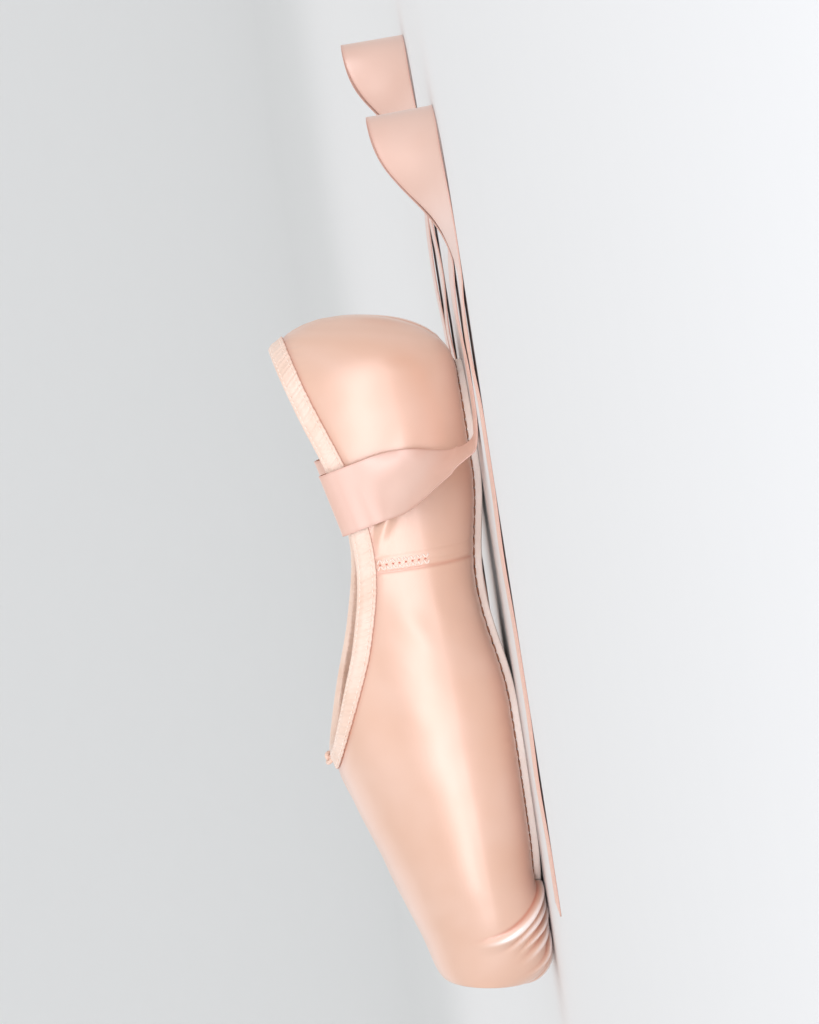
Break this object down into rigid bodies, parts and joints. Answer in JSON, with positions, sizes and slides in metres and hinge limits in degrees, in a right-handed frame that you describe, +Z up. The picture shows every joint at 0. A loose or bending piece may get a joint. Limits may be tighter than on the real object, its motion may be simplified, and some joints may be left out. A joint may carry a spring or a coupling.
{
  "type": "pointe shoe",
  "caption": "Satin pointe shoe with a flat toe platform, low open collar with drawstring casing, thin arched outsole and two sewn satin ribbons lying loose.",
  "frame": {"origin": "on the floor, under the middle of the shoe's length and width, without its ribbons", "axes": "+X along the shoe to its toe platform, +Y to the shoe's left, +Z up from the floor"},
  "size_m": [0.3249, 0.2399, 0.0691],
  "materials": {
    "satin": "smooth peach-pink satin with a soft sheen",
    "casing": "finely puckered woven binding, paler peach, half matt",
    "knot": "small gathered cotton cord knot, matt",
    "outsole": "thin buffed leather, grey-beige suede face and pale edge",
    "insole": "cream cotton sock over board, matt",
    "ribbon": "satin ribbon with woven edges"
  },
  "bodies": {
    "root": {"upper": "satin", "outsole": "outsole", "insole": "insole", "collar_casing": "casing", "drawstring_knot": "knot", "ribbon_left": "ribbon", "ribbon_right": "ribbon"}
  },
  "joints": []
}
